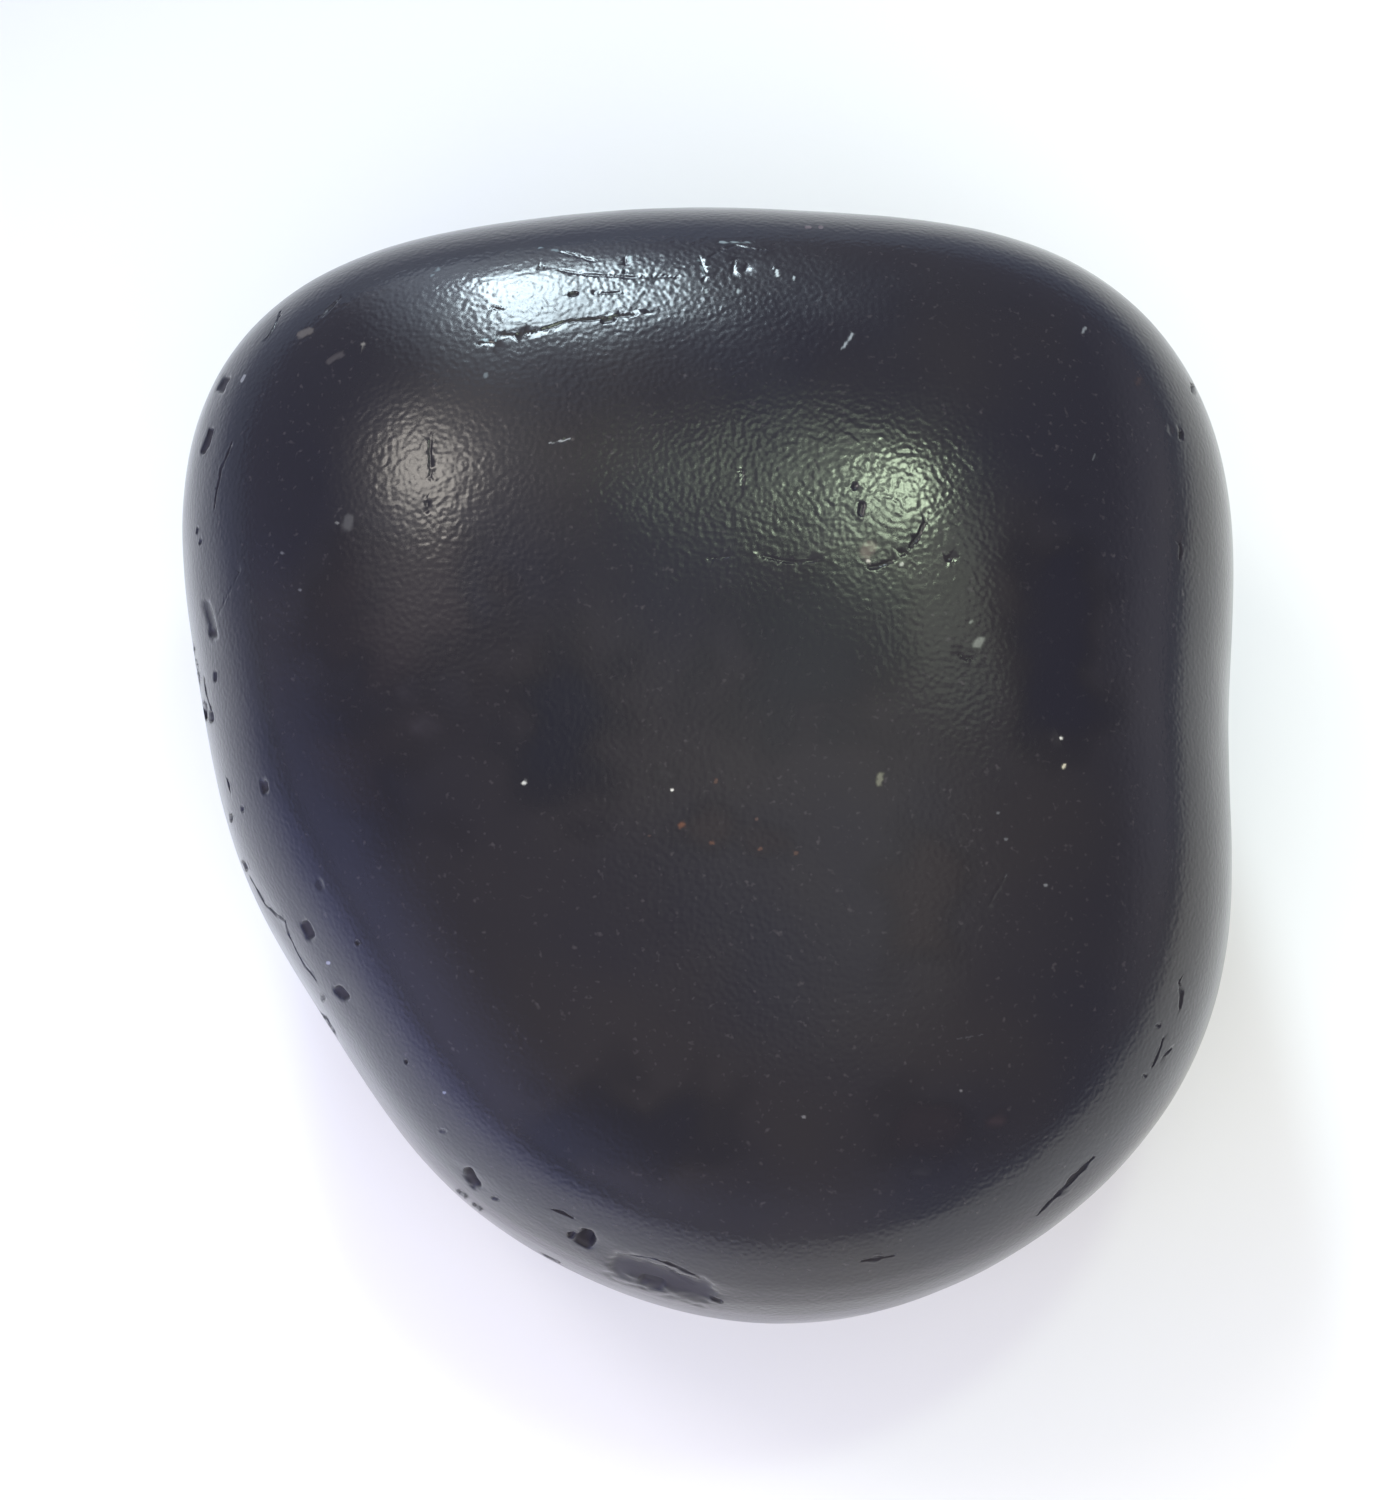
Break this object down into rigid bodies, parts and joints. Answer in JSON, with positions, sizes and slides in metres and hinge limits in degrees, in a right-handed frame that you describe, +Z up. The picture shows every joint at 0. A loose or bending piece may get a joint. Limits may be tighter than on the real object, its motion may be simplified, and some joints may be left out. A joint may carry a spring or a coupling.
{
  "type": "shaligram stone",
  "caption": "Smooth river-worn black fossil stone, rounded and blunt at one end, that lies on a worn flat underside.",
  "frame": {"origin": "middle of the bounding box's underside, on the surface that the stone lies on", "axes": "+Z up, +Y towards the broad blunt end, +X to the right when the blunt end points away"},
  "size_m": [0.0658, 0.0676, 0.0443],
  "materials": {
    "black_stone": "satin river polish, dark charcoal with faint brown and green-grey tints"
  },
  "bodies": {
    "root": {"stone": "black_stone"}
  },
  "joints": []
}
